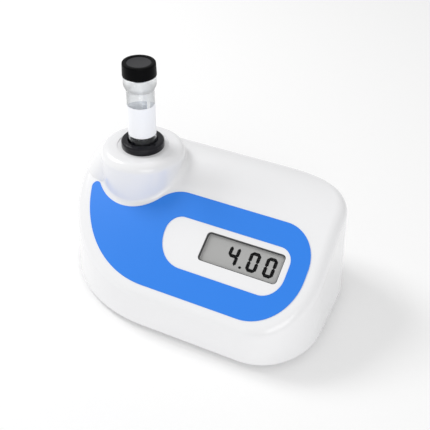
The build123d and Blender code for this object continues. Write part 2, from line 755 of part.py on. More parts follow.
def make_sensor_board(side):
    """Return the small board on one side of the optical block, on its two spacers."""
    width, height = SENSOR_BOARD
    face = TUBE_X + side * BLOCK_WIDTH / 2
    x = face + side * (SENSOR_BOARD_GAP + BOARD_THICK / 2)
    board = Pos(x, TUBE_Y, PORT_HEIGHT) * Box(BOARD_THICK, width, height)
    for screw_x, y, z in sensor_screw_places(side):
        spacer = Cylinder(2 * BOARD_SCREW_RADIUS, SENSOR_BOARD_GAP)
        board += Pos(screw_x + side * SENSOR_BOARD_GAP / 2, y, z) * Rot(0, 90, 0) * spacer
        hole = Cylinder(BOARD_SCREW_RADIUS, 6 * SENSOR_BOARD_GAP)
        board -= Pos(screw_x, y, z) * Rot(0, 90, 0) * hole
    return board


def make_sensor_screws():
    """Return the four screws that hold the two small boards."""
    screws = []
    for side in (-1, 1):
        stack = SENSOR_BOARD_GAP + BOARD_THICK
        for x, y, z in sensor_screw_places(side):
            length = stack + SENSOR_SCREW_LENGTH
            middle = x + side * (stack - length / 2)
            head_x = x + side * (stack + BOARD_SCREW_HEAD_THICK / 2)
            shank = Pos(middle, y, z) * Rot(0, 90, 0) * Cylinder(BOARD_SCREW_RADIUS, length)
            head = Pos(head_x, y, z) * Rot(0, 90, 0) * Cylinder(BOARD_SCREW_HEAD, BOARD_SCREW_HEAD_THICK)
            screws.append(shank + head)
    return screws


def make_sensor(side, domed):
    """Return one optical device: its case in the port and its two leads to the small board."""
    face = TUBE_X + side * BLOCK_WIDTH / 2
    radius = PORT_RADIUS - LED_FIT
    turn = Rot(0, -90 * side, 0)
    case = Pos(0, 0, LED_BODY / 2) * Cylinder(radius, LED_BODY)
    if domed:
        case = fillet(case.edges().sort_by(Axis.Z)[-1], 0.9 * radius)
    else:
        case = chamfer(case.edges().sort_by(Axis.Z)[-1], radius / 4)
    case += Pos(0, 0, -LED_FLANGE_THICK / 2) * Cylinder(LED_FLANGE, LED_FLANGE_THICK)
    reach = SENSOR_BOARD_GAP - LED_FLANGE_THICK
    for step in (-1, 1):
        lead = Box(LEAD_SIDE, LEAD_SIDE, reach)
        case += Pos(0, step * LEAD_SPAN, -LED_FLANGE_THICK - reach / 2) * lead
    return Pos(face, TUBE_Y, PORT_HEIGHT) * turn * case


def make_tube_seat():
    """Return the soft ring at the bottom of the well, on whose hole the tube's round end rests."""
    rest = TUBE_RADIUS - math.sqrt(TUBE_RADIUS ** 2 - TUBE_SEAT_HOLE ** 2)
    ring = drum(WELL_RADIUS - ADAPTER_FIT, WELL_FLOOR, TUBE_BOTTOM + rest)
    return ring - drum(TUBE_SEAT_HOLE, 0, BOSS_TOP)


def make_adapter():
    """Return the removable sleeve that narrows the well to the tube, with its flange."""
    low = BOSS_TOP - ADAPTER_LENGTH
    high = BOSS_TOP + ADAPTER_FLANGE_HEIGHT
    bore = TUBE_RADIUS + TUBE_FIT
    mouth = bore + ADAPTER_MOUTH
    outer = WELL_RADIUS - ADAPTER_FIT
    flange = ADAPTER_FLANGE_RADIUS
    section = Polygon(
        (bore, low),
        (outer, low),
        (outer, SEAT_Z),
        (flange, SEAT_Z),
        (flange, high - ADAPTER_BEVEL),
        (flange - ADAPTER_BEVEL, high),
        (mouth + ADAPTER_BEVEL / 2, high),
        (mouth, high - ADAPTER_BEVEL / 2),
        (mouth, BOSS_TOP + ADAPTER_BEVEL),
        (bore, BOSS_TOP - ADAPTER_BEVEL),
        align=None,
    )
    return spin(section)


def spin(section):
    """Return the solid that a section, drawn as radius and height, makes round the tube's axis."""
    side = Plane(origin=(TUBE_X, TUBE_Y, 0), x_dir=(1, 0, 0), z_dir=(0, -1, 0))
    return revolve(side * section, Axis((TUBE_X, TUBE_Y, 0), (0, 0, 1)), 360)


def make_sample_tube():
    """Return the glass tube with its round bottom, wide collar and open neck."""
    centre = TUBE_BOTTOM + TUBE_RADIUS
    bore = TUBE_RADIUS - TUBE_WALL
    neck_bore = TUBE_NECK_RADIUS - TUBE_NECK_WALL
    slant_top = COLLAR_LOW + TUBE_COLLAR_SLANT
    turn = math.sqrt(0.5)
    outer_bend = (turn * TUBE_RADIUS, centre - turn * TUBE_RADIUS)
    inner_bend = (turn * bore, centre - turn * bore)
    section = make_face([
        ThreePointArc((0, TUBE_BOTTOM), outer_bend, (TUBE_RADIUS, centre)),
        Line((TUBE_RADIUS, centre), (TUBE_RADIUS, COLLAR_LOW)),
        Line((TUBE_RADIUS, COLLAR_LOW), (TUBE_COLLAR_RADIUS, slant_top)),
        Line((TUBE_COLLAR_RADIUS, slant_top), (TUBE_COLLAR_RADIUS, COLLAR_TOP - TUBE_COLLAR_ROUND)),
        Line(
            (TUBE_COLLAR_RADIUS, COLLAR_TOP - TUBE_COLLAR_ROUND),
            (TUBE_COLLAR_RADIUS - TUBE_COLLAR_ROUND, COLLAR_TOP),
        ),
        Line((TUBE_COLLAR_RADIUS - TUBE_COLLAR_ROUND, COLLAR_TOP), (TUBE_NECK_RADIUS, COLLAR_TOP)),
        Line((TUBE_NECK_RADIUS, COLLAR_TOP), (TUBE_NECK_RADIUS, TUBE_TOP)),
        Line((TUBE_NECK_RADIUS, TUBE_TOP), (neck_bore, TUBE_TOP)),
        Line((neck_bore, TUBE_TOP), (neck_bore, slant_top)),
        Line((neck_bore, slant_top), (bore, COLLAR_LOW)),
        Line((bore, COLLAR_LOW), (bore, centre)),
        ThreePointArc((bore, centre), inner_bend, (0, centre - bore)),
        Line((0, centre - bore), (0, TUBE_BOTTOM)),
    ])
    return spin(section)


def make_liquid():
    """Return the suspension that stands in the tube."""
    radius = TUBE_RADIUS - TUBE_WALL - LIQUID_FIT
    low = TUBE_BOTTOM + TUBE_RADIUS
    return drum(radius, low, LIQUID_LEVEL) + Pos(TUBE_X, TUBE_Y, low) * Sphere(radius)


def make_label():
    """Return the wrapped label, with a narrow gap at the back of the tube."""
    section = Polygon(
        (TUBE_RADIUS, LABEL_LOW),
        (TUBE_RADIUS + LABEL_THICK, LABEL_LOW),
        (TUBE_RADIUS + LABEL_THICK, LABEL_HIGH),
        (TUBE_RADIUS, LABEL_HIGH),
        align=None,
    )
    side = Plane(origin=(TUBE_X, TUBE_Y, 0), x_dir=(1, 0, 0), z_dir=(0, -1, 0))
    wrap = revolve(side * section, Axis((TUBE_X, TUBE_Y, 0), (0, 0, 1)), LABEL_SWEEP)
    turn = 90 + (360 - LABEL_SWEEP) / 2
    return wrap.rotate(Axis((TUBE_X, TUBE_Y, 0), (0, 0, 1)), turn)


def make_liner():
    """Return the sealing disc between the tube's mouth and the cap's top."""
    return drum(TUBE_NECK_RADIUS, TUBE_TOP, TUBE_TOP + LINER_THICK)


def make_cap():
    """Return the smooth, slightly tapered screw cap with its shallow dished top."""
    cap = spin(Polygon(
        (0, CAP_LOW),
        (CAP_RADIUS, CAP_LOW),
        (CAP_RADIUS - CAP_TAPER, CAP_HIGH),
        (0, CAP_HIGH),
        align=None,
    ))
    cap = fillet(cap.edges().sort_by(Axis.Z)[-1], CAP_ROUND)
    cap -= drum(CAP_DISH_RADIUS, CAP_HIGH - CAP_DISH_DEPTH, CAP_HIGH + 1)
    return cap - drum(TUBE_NECK_RADIUS + CAP_GAP, CAP_LOW - 1, TUBE_TOP + LINER_THICK + LINER_FIT)


def make_jack():
    """Return the power jack's case: flange, barrel through the rear wall and plug bore."""
    turn = Pos(JACK_X, REAR_Y, REAR_HEIGHT) * Rot(90, 0, 0)
    case = turn * Pos(0, 0, -JACK_FLANGE_THICK / 2) * Cylinder(JACK_FLANGE, JACK_FLANGE_THICK)
    case += turn * Pos(0, 0, JACK_LENGTH / 2) * Cylinder(JACK_RADIUS, JACK_LENGTH)
    depth = JACK_BORE_DEPTH + JACK_FLANGE_THICK
    case -= turn * Pos(0, 0, depth / 2 - JACK_FLANGE_THICK) * Cylinder(JACK_BORE, depth)
    return case


def make_jack_pin():
    """Return the jack's centre pin."""
    turn = Pos(JACK_X, REAR_Y, REAR_HEIGHT) * Rot(90, 0, 0)
    pin = Cylinder(JACK_PIN, JACK_PIN_LENGTH)
    pin = fillet(pin.edges().sort_by(Axis.Z)[0], JACK_PIN / 2)
    return turn * Pos(0, 0, JACK_BORE_DEPTH - JACK_PIN_LENGTH / 2) * pin


def make_jack_nut():
    """Return the nut that holds the jack from inside."""
    inner_face = REAR_Y - WALL
    nut = extrude(RegularPolygon(JACK_NUT_SIDE / 2, 6, major_radius=False), amount=JACK_NUT_THICK)
    nut -= Cylinder(JACK_RADIUS, 4 * JACK_NUT_THICK)
    return Pos(JACK_X, inner_face, REAR_HEIGHT) * Rot(90, 0, 0) * nut


def make_jack_tabs():
    """Return the jack's two solder tabs."""
    width, thick, length = TAB_SIZE
    end = REAR_Y - JACK_LENGTH
    tabs = []
    for step in (-1, 1):
        x = JACK_X + step * JACK_RADIUS / 2
        tabs.append(Pos(x, end - length / 2, REAR_HEIGHT) * Box(thick, length, width))
    return tabs


def make_switch_frame():
    """Return the rocker switch's case: flange on the wall and hollow body through it."""
    tall, wide = SWITCH_CUT
    fit = SWITCH_FIT
    flange = Box(wide + 2 * SWITCH_FLANGE, SWITCH_FLANGE_THICK, tall + 2 * SWITCH_FLANGE)
    flange = fillet(flange.edges().filter_by(Axis.Y), SWITCH_FLANGE)
    case = Pos(SWITCH_X, REAR_Y + SWITCH_FLANGE_THICK / 2, REAR_HEIGHT) * flange
    body = Box(wide - 2 * fit, SWITCH_BODY_LENGTH, tall - 2 * fit)
    case += Pos(SWITCH_X, REAR_Y - SWITCH_BODY_LENGTH / 2, REAR_HEIGHT) * body
    hollow_deep = ROCKER_PIVOT + ROCKER_RADIUS + ROCKER_GAP
    hollow = Box(wide - 2 * SWITCH_WALL, 2 * hollow_deep, tall - 2 * SWITCH_WALL)
    case -= Pos(SWITCH_X, REAR_Y, REAR_HEIGHT) * hollow
    case -= rocker_axle(ROCKER_PIN + ROCKER_PIN_FIT, wide - 2 * fit - SWITCH_WALL)
    return case


def rocker_axle(radius, length):
    """Return the rocker's pivot pin, across the switch."""
    return Pos(SWITCH_X, REAR_Y - ROCKER_PIVOT, REAR_HEIGHT) * Rot(0, 90, 0) * Cylinder(radius, length)


def make_rocker():
    """Return the rocker, pressed at its upper end, with its pivot pin."""
    tall, wide = SWITCH_CUT
    width = wide - 2 * SWITCH_WALL - 2 * ROCKER_GAP
    half = tall / 2 - SWITCH_WALL - 3 * ROCKER_GAP
    corner = (SWITCH_X - width / 2, REAR_Y - ROCKER_PIVOT, REAR_HEIGHT)
    side = Plane(origin=corner, x_dir=(0, 1, 0), z_dir=(1, 0, 0))
    face = ROCKER_PIVOT + SWITCH_FLANGE_THICK / 2
    outline = make_face([
        Line((face, -half), (face - ROCKER_DISH, 0)),
        Line((face - ROCKER_DISH, 0), (face, half)),
        Line((face, half), (0, half)),
        ThreePointArc((0, half), (-ROCKER_BELLY, 0), (0, -half)),
        Line((0, -half), (face, -half)),
    ])
    rocker = extrude(side * outline, amount=width)
    rocker += rocker_axle(ROCKER_PIN, width + SWITCH_WALL)
    pivot = Axis((SWITCH_X, REAR_Y - ROCKER_PIVOT, REAR_HEIGHT), (1, 0, 0))
    return rocker.rotate(pivot, ROCKER_TILT)


def make_switch_tabs():
    """Return the switch's two blade terminals."""
    width, thick, length = TAB_SIZE
    end = REAR_Y - SWITCH_BODY_LENGTH
    tabs = []
    for step in (-1, 1):
        z = REAR_HEIGHT + step * SWITCH_CUT[0] / 4
        tabs.append(Pos(SWITCH_X, end - length / 2, z) * Box(width, length, thick))
    return tabs


def make_lead(*points):
    """Return one insulated lead along straight runs joined by tangent arcs."""
    path = FilletPolyline(*points, radius=LEAD_BEND)
    return sweep(Plane(origin=path @ 0, z_dir=path % 0) * Circle(LEAD_RADIUS), path=path)


def header_run(place, offset, reach):
    """Return a lead's first two points: inside a lead socket, and straight out of it."""
    height = HEADER_SIZE[2]
    x = WINDOW_X + place[0] * BOARD_WIDTH
    s = WINDOW_S + place[1] * BOARD_LENGTH + offset
    floor = BOARD_DROP + BOARD_THICK + height / 2
    inside = on_panel(x, s, floor).position
    outside = on_panel(x, s, floor + reach).position
    return tuple(inside), tuple(outside)


def make_power_leads():
    """Return the leads between the jack, the switch and the board."""
    jack_y = REAR_Y - JACK_LENGTH - TAB_SIZE[2]
    switch_y = REAR_Y - SWITCH_BODY_LENGTH - TAB_SIZE[2]
    turn_y = jack_y - 3 * LEAD_BEND
    left_x = JACK_X - JACK_RADIUS / 2
    right_x = JACK_X + JACK_RADIUS / 2
    high_z = REAR_HEIGHT + SWITCH_CUT[0] / 4
    low_z = REAR_HEIGHT - SWITCH_CUT[0] / 4
    ground_in, ground_out = header_run(POWER_HEADER_PLACE, -LEAD_PITCH, LEAD_GROUND_REACH)
    live_in, live_out = header_run(POWER_HEADER_PLACE, LEAD_PITCH, LEAD_SHORT_REACH)
    ground = make_lead(
        (left_x, jack_y, REAR_HEIGHT),
        (left_x, turn_y - LEAD_BEND, REAR_HEIGHT),
        (left_x, turn_y - LEAD_BEND, LEAD_LOW),
        (ground_out[0], turn_y - LEAD_BEND, LEAD_LOW),
        ground_out,
        ground_in,
    )
    live = make_lead(
        (SWITCH_X, switch_y, high_z),
        (SWITCH_X, turn_y - 2 * LEAD_BEND, high_z),
        live_out,
        live_in,
    )
    link = make_lead(
        (right_x, jack_y, REAR_HEIGHT),
        (right_x, turn_y + LEAD_BEND, REAR_HEIGHT),
        (SWITCH_X, turn_y + LEAD_BEND, low_z),
        (SWITCH_X, switch_y, low_z),
    )
    return [ground, live, link]


def make_sensor_leads():
    """Return the two pairs of leads between the board and the boards on the optical block."""
    stack = BLOCK_WIDTH / 2 + SENSOR_BOARD_GAP + BOARD_THICK
    leads = []
    for step in (0, 1):
        offset = (step + 0.5) * LEAD_PITCH
        inside, outside = header_run(SENSOR_HEADER_PLACE, offset, LEAD_SHORT_REACH)
        y = TUBE_Y + LEAD_BOARD_Y + step * LEAD_PITCH
        leads.append(make_lead(
            inside,
            outside,
            (TUBE_X + stack + 3 * LEAD_BEND, y, PORT_HEIGHT),
            (TUBE_X + stack, y, PORT_HEIGHT),
        ))
    for step in (0, 1):
        offset = (step - 1.5) * LEAD_PITCH
        reach = LEAD_LOW_REACH + LEAD_PITCH * step
        inside, outside = header_run(SENSOR_HEADER_PLACE, offset, reach)
        shift = LEAD_STEP * step
        aisle_y = LEAD_AISLE_Y + shift
        side_x = LEAD_LEFT_X + shift
        end_y = TUBE_Y - LEAD_BOARD_Y - LEAD_PITCH + shift
        leads.append(make_lead(
            inside,
            outside,
            (0, aisle_y, LEAD_LOW),
            (side_x, aisle_y, LEAD_LOW),
            (side_x, end_y, LEAD_LOW),
            (side_x, end_y, PORT_HEIGHT),
            (TUBE_X - stack, end_y, PORT_HEIGHT),
        ))
    return leads


def save(name, shape):
    """Write one sub-part, given as a shape or a list of separate pieces, to its file."""
    pieces = shape if isinstance(shape, list) else [shape]
    solids = []
    for piece in pieces:
        solids.extend(piece.solids())
    whole = solids[0] if len(solids) == 1 else Compound(children=solids)
    export_step(whole, f"parts/{name}.step")


os.makedirs("parts", exist_ok=True)
save("top_housing", make_top_housing())
save("base_plate", make_base_plate())
save("rubber_feet", make_feet())
save("base_screws", flat_screws(BASE_SCREW_PLACES, BASE_SCREW_LENGTH))
save("front_film", make_front_film())
save("display_bezel", make_display_bezel())
save("display_lens", make_display_lens())
save("lcd_glass", make_lcd_glass())
save("lcd_pins", make_lcd_pins())
save("main_board", make_main_board())
save("board_screws", make_board_screws())
save("microcontroller", make_microcontroller())
save("capacitor", make_capacitor())
save("voltage_regulator", make_regulator())
save("crystal", make_crystal())
save("board_headers", make_headers())
save("optical_block", make_optical_block())
save("block_screws", flat_screws(block_screw_places(), BLOCK_SCREW_LENGTH))
save("tube_seat", make_tube_seat())
save("light_source", make_sensor(1, True))
save("photodiode", make_sensor(-1, False))
save("emitter_board", make_sensor_board(1))
save("detector_board", make_sensor_board(-1))
save("sensor_screws", make_sensor_screws())
save("tube_adapter", make_adapter())
save("sample_tube", make_sample_tube())
save("suspension", make_liquid())
save("tube_label", make_label())
save("cap_liner", make_liner())
save("tube_cap", make_cap())
save("power_jack", make_jack())
save("jack_pin", make_jack_pin())
save("jack_nut", make_jack_nut())
save("jack_tabs", make_jack_tabs())
save("switch_frame", make_switch_frame())
save("switch_rocker", make_rocker())
save("switch_tabs", make_switch_tabs())
save("power_leads", make_power_leads())
save("sensor_leads", make_sensor_leads())
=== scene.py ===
import json
import logging
import math
from dataclasses import dataclass
from enum import Enum

import bpy
from mathutils import Matrix, Vector


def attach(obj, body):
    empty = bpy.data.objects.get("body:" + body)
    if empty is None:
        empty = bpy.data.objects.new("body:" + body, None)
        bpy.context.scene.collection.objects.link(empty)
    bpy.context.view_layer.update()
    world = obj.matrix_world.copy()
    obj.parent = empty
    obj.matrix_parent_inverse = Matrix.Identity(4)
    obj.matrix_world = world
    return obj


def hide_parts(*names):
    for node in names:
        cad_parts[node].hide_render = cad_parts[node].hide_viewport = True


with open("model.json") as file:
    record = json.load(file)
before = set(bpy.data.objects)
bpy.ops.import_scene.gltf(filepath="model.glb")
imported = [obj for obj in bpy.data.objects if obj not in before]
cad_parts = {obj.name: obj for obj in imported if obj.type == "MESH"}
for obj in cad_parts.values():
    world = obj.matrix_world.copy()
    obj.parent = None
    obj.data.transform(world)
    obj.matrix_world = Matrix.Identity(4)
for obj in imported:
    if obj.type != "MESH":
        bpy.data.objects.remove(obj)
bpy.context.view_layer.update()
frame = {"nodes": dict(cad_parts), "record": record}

Colour = tuple[float, float, float]
Ring = tuple[float, float]
Point = tuple[float, float]

LOG = logging.getLogger("densitometer")
MM = 0.001
SMALL = 1e-9
WELD = 1e-6
TUBE_AXIS: Point = (-44.4, 13.2)
FINE_DETAIL = 3.0
BROAD_DETAIL = 4.0
SPECK_DETAIL = 5.0
BUMP_STRENGTH = 0.5
COAT_ROUGHNESS = 0.08
DUST_TONE: Colour = (0.72, 0.71, 0.69)
WHITE = (1.0, 1.0, 1.0, 1.0)
GLASS_SHADE = (0.94, 0.95, 0.95, 1.0)
BEVEL_FROM_ANGLE = 28.0


class Body(Enum):
    """The parts of the instrument that move on their own."""

    INSTRUMENT = "instrument"
    ADAPTER = "adapter"
    TUBE = "tube"
    CAP = "cap"


def linear(tone: Colour) -> tuple[float, float, float, float]:
    """Turn a screen colour into the linear colour of a shader.

    Args:
        tone: The colour as seen on a screen, each part from 0 to 1.

    Returns:
        The same colour in linear light, with full opacity.
    """
    parts = [((c + 0.055) / 1.055) ** 2.4 if c > 0.04045 else c / 12.92 for c in tone]
    return (parts[0], parts[1], parts[2], 1.0)


class EffectGroup:
    """A shader node group that several finishes share."""

    def __init__(self, name: str, inputs: dict[str, float], outputs: tuple[str, ...]) -> None:
        """Make the empty group with its sockets.

        Args:
            name: The group's name.
            inputs: Each input's name and usual value.
            outputs: The names of the outputs.
        """
        self.tree = bpy.data.node_groups.new(name, "ShaderNodeTree")
        for label, value in inputs.items():
            socket = self.tree.interface.new_socket(name=label, in_out="INPUT", socket_type="NodeSocketFloat")
            socket.default_value = value
        for label in outputs:
            self.tree.interface.new_socket(name=label, in_out="OUTPUT", socket_type="NodeSocketFloat")
        self.entry = self.tree.nodes.new("NodeGroupInput")
        self.exit = self.tree.nodes.new("NodeGroupOutput")

    def add(self, kind: str, **settings: object) -> bpy.types.Node:
        """Add a node to the group.

        Args:
            kind: The node's type.
            settings: The properties to set on it.

        Returns:
            The new node.
        """
        node = self.tree.nodes.new(kind)
        for key, value in settings.items():
            setattr(node, key, value)
        return node

    def join(self, source: bpy.types.NodeSocket, target: bpy.types.NodeSocket) -> None:
        """Join two sockets of the group."""
        self.tree.links.new(source, target)


def mould_texture() -> bpy.types.NodeTree:
    """Build the skin that a mould leaves: a fine height and a broad, faint mottle.

    Returns:
        The node group.
    """
    group = EffectGroup("mould_texture", {"Grain": 900.0, "Mottle Scale": 18.0}, ("Height", "Mottle"))
    place = group.add("ShaderNodeTexCoord")
    fine = group.add("ShaderNodeTexNoise", noise_dimensions="3D")
    fine.inputs["Detail"].default_value = FINE_DETAIL
    broad = group.add("ShaderNodeTexNoise", noise_dimensions="3D")
    broad.inputs["Detail"].default_value = BROAD_DETAIL
    for node, label in ((fine, "Grain"), (broad, "Mottle Scale")):
        group.join(place.outputs["Object"], node.inputs["Vector"])
        group.join(group.entry.outputs[label], node.inputs["Scale"])
    group.join(fine.outputs["Fac"], group.exit.inputs["Height"])
    group.join(broad.outputs["Fac"], group.exit.inputs["Mottle"])
    return group.tree


def settled_dust() -> bpy.types.NodeTree:
    """Build the mask of fine dust that lies on faces turned upwards.

    Returns:
        The node group.
    """
    group = EffectGroup("settled_dust", {"Scale": 140.0, "Amount": 0.05}, ("Mask",))
    shape = group.add("ShaderNodeNewGeometry")
    parts = group.add("ShaderNodeSeparateXYZ")
    place = group.add("ShaderNodeTexCoord")
    specks = group.add("ShaderNodeTexNoise", noise_dimensions="3D")
    specks.inputs["Detail"].default_value = SPECK_DETAIL
    rise = group.add("ShaderNodeMath", operation="MAXIMUM")
    rise.inputs[1].default_value = 0.0
    spread = group.add("ShaderNodeMath", operation="MULTIPLY")
    amount = group.add("ShaderNodeMath", operation="MULTIPLY")
    group.join(shape.outputs["Normal"], parts.inputs["Vector"])
    group.join(parts.outputs["Z"], rise.inputs[0])
    group.join(place.outputs["Object"], specks.inputs["Vector"])
    group.join(group.entry.outputs["Scale"], specks.inputs["Scale"])
    group.join(rise.outputs[0], spread.inputs[0])
    group.join(specks.outputs["Fac"], spread.inputs[1])
    group.join(spread.outputs[0], amount.inputs[0])
    group.join(group.entry.outputs["Amount"], amount.inputs[1])
    group.join(amount.outputs[0], group.exit.inputs["Mask"])
    return group.tree


@dataclass(frozen=True)
class Finish:
    """What one surface is made of.

    Attributes:
        name: The material's name.
        tone: Its colour as seen on a screen.
        roughness: Its mean roughness.
        metal: One for bare metal, otherwise zero.
        grain: Grains of the mould's skin in a metre.
        depth: Height of that skin in millimetres.
        mottle: How far the colour strays, as a share.
        smears: How far the roughness strays.
        dust: How much dust lies on it.
        coat: Weight of a clear coat.
        ior: Refractive index.
        clear: One for glass, otherwise zero.
        opacity: Share of the light that it stops.
        shine: Strength of the reflection, half for a usual plastic.
        painted_glow: Painted light, a faint glow in its own colour that lightens its faces in shade.
    """

    name: str
    tone: Colour
    roughness: float = 0.4
    metal: float = 0.0
    grain: float = 900.0
    depth: float = 0.01
    mottle: float = 0.03
    smears: float = 0.06
    dust: float = 0.0
    coat: float = 0.0
    ior: float = 1.5
    clear: float = 0.0
    opacity: float = 1.0
    shine: float = 0.5
    painted_glow: float = 0.0

    def material(self, effects: dict[str, bpy.types.NodeTree]) -> bpy.types.Material:
        """Build the material.

        Args:
            effects: The shared node groups by name.

        Returns:
            The material, with its colour, roughness and relief from nodes.
        """
        material = bpy.data.materials.new(self.name)
        material.use_nodes = True
        nodes = material.node_tree.nodes
        join = material.node_tree.links.new
        shader = nodes["Principled BSDF"]
        shader.inputs["Metallic"].default_value = self.metal
        shader.inputs["IOR"].default_value = self.ior
        shader.inputs["Coat Weight"].default_value = self.coat
        shader.inputs["Coat Roughness"].default_value = COAT_ROUGHNESS
        shader.inputs["Transmission Weight"].default_value = self.clear
        shader.inputs["Alpha"].default_value = self.opacity
        shader.inputs["Specular IOR Level"].default_value = self.shine
        # Painted light: the emission gives a surface a faint glow in its own colour, so its faces in shade
        # read lighter.
        shader.inputs["Emission Color"].default_value = linear(self.tone)
        shader.inputs["Emission Strength"].default_value = self.painted_glow
        skin = nodes.new("ShaderNodeGroup")
        skin.node_tree = effects["mould_texture"]
        skin.inputs["Grain"].default_value = self.grain
        bump = nodes.new("ShaderNodeBump")
        bump.inputs["Strength"].default_value = BUMP_STRENGTH
        bump.inputs["Distance"].default_value = self.depth * MM
        join(skin.outputs["Height"], bump.inputs["Height"])
        join(bump.outputs["Normal"], shader.inputs["Normal"])
        gloss = nodes.new("ShaderNodeMapRange")
        gloss.inputs["To Min"].default_value = max(0.0, self.roughness - self.smears)
        gloss.inputs["To Max"].default_value = self.roughness + self.smears
        join(skin.outputs["Mottle"], gloss.inputs["Value"])
        join(gloss.outputs["Result"], shader.inputs["Roughness"])
        blend = nodes.new("ShaderNodeMix")
        blend.data_type = "RGBA"
        dark = tuple(c * (1.0 - self.mottle) for c in self.tone)
        blend.inputs["A"].default_value = linear(dark)
        blend.inputs["B"].default_value = linear(self.tone)
        join(skin.outputs["Mottle"], blend.inputs["Factor"])
        colour = blend.outputs["Result"]
        if self.dust > 0.0:
            veil = nodes.new("ShaderNodeGroup")
            veil.node_tree = effects["settled_dust"]
            veil.inputs["Amount"].default_value = self.dust
            cover = nodes.new("ShaderNodeMix")
            cover.data_type = "RGBA"
            cover.inputs["B"].default_value = linear(DUST_TONE)
            join(veil.outputs["Mask"], cover.inputs["Factor"])
            join(colour, cover.inputs["A"])
            colour = cover.outputs["Result"]
        join(colour, shader.inputs["Base Color"])
        if self.clear > 0.0:
            self.pass_shadow_light(material)
        return material

    def pass_shadow_light(self, material: bpy.types.Material) -> None:
        """Let lamplight through clear glass, so that what is inside it isn't dark.

        Args:
            material: The glass.
        """
        nodes = material.node_tree.nodes
        join = material.node_tree.links.new
        rays = nodes.new("ShaderNodeLightPath")
        open_air = nodes.new("ShaderNodeBsdfTransparent")
        open_air.inputs["Color"].default_value = GLASS_SHADE
        mix = nodes.new("ShaderNodeMixShader")
        join(rays.outputs["Is Shadow Ray"], mix.inputs["Fac"])
        join(nodes["Principled BSDF"].outputs["BSDF"], mix.inputs[1])
        join(open_air.outputs["BSDF"], mix.inputs[2])
        join(mix.outputs["Shader"], nodes["Material Output"].inputs["Surface"])


FINISHES: dict[str, Finish] = {
    "housing": Finish("white_housing", (0.955, 0.955, 0.96), roughness=0.2, depth=0.004, mottle=0.008,
                      smears=0.03, coat=0.35),
    "base": Finish("white_base", (0.87, 0.87, 0.88), roughness=0.5, depth=0.03, grain=1400.0),
    "foot": Finish("grey_rubber", (0.16, 0.16, 0.17), roughness=0.75, depth=0.04, dust=0.1),
    "screw": Finish("plated_steel", (0.72, 0.73, 0.75), roughness=0.3, metal=1.0, depth=0.006),
    "film": Finish("blue_film", (0.175, 0.52, 0.935), roughness=0.36, depth=0.004, mottle=0.02, shine=0.35),
    # Painted shade: the bezel is much darker than the housing so that the display window's inner walls read as
    # in shadow.
    "bezel": Finish("shade_darkened_bezel", (0.27, 0.275, 0.28), roughness=0.4, depth=0.01),
    "lens": Finish("clear_pane", (0.20, 0.21, 0.21), roughness=0.06, smears=0.03, opacity=0.05, ior=1.49),
    "lcd": Finish("display_cell", (0.755, 0.755, 0.75), roughness=0.38, depth=0.003, mottle=0.02),
    "digit": Finish("dark_digit", (0.03, 0.03, 0.035), roughness=0.5, shine=0.1),
    "pin": Finish("tinned_pin", (0.80, 0.80, 0.80), roughness=0.3, metal=1.0),
    "board": Finish("green_board", (0.09, 0.30, 0.17), roughness=0.35, mottle=0.15, coat=0.3),
    "chip": Finish("black_chip", (0.09, 0.09, 0.10), roughness=0.55, shine=0.3),
    "can": Finish("black_can", (0.12, 0.12, 0.15), roughness=0.35, coat=0.2),
    "header": Finish("ivory_header", (0.88, 0.86, 0.80), roughness=0.45),
    "block": Finish("black_block", (0.10, 0.10, 0.11), roughness=0.6, depth=0.02),
    "seat": Finish("soft_seat", (0.14, 0.14, 0.14), roughness=0.8, depth=0.03),
    "emitter": Finish("amber_emitter", (0.85, 0.66, 0.40), roughness=0.2, coat=0.4),
    "detector": Finish("dark_detector", (0.15, 0.10, 0.18), roughness=0.2, coat=0.4),
    "adapter": Finish("black_sleeve", (0.06, 0.058, 0.085), roughness=0.22, depth=0.004, shine=0.3),
    "glass": Finish("clear_glass", (0.955, 0.96, 0.965), roughness=0.07, smears=0.02, clear=1.0, ior=1.47,
                    depth=0.003, grain=60.0, mottle=0.01),
    "frost": Finish("frosted_collar", (0.975, 0.98, 0.985), roughness=0.34, smears=0.04, clear=1.0, ior=1.47,
                    depth=0.006, grain=500.0, mottle=0.02),
    "suspension": Finish("cloudy_suspension", (0.88, 0.89, 0.88), roughness=0.3, mottle=0.04),
    # Painted light: the label glows faintly so that its back, in shade inside the glass tube, reads light.
    "label": Finish("white_label", (0.965, 0.97, 0.985), roughness=0.45, depth=0.01, grain=2400.0, mottle=0.02,
                    painted_glow=0.08),
    "liner": Finish("pale_liner", (0.86, 0.86, 0.84), roughness=0.6),
    "cap": Finish("black_cap", (0.02, 0.02, 0.024), roughness=0.4, depth=0.008, grain=1600.0, dust=0.002,
                  shine=0.06),
    "disc": Finish("grey_disc", (0.20, 0.20, 0.21), roughness=0.5, depth=0.012, grain=1600.0, shine=0.3),
    "jack": Finish("black_jack", (0.08, 0.08, 0.09), roughness=0.4),
    "contact": Finish("plated_contact", (0.82, 0.80, 0.74), roughness=0.25, metal=1.0),
    "nut": Finish("black_nut", (0.11, 0.11, 0.12), roughness=0.5),
    "switch": Finish("black_switch", (0.09, 0.09, 0.10), roughness=0.42, depth=0.02),
    "rocker": Finish("black_rocker", (0.07, 0.07, 0.08), roughness=0.3, coat=0.2),
    "red_lead": Finish("red_lead", (0.70, 0.10, 0.09), roughness=0.4),
    "grey_lead": Finish("grey_lead", (0.50, 0.50, 0.52), roughness=0.4),
}


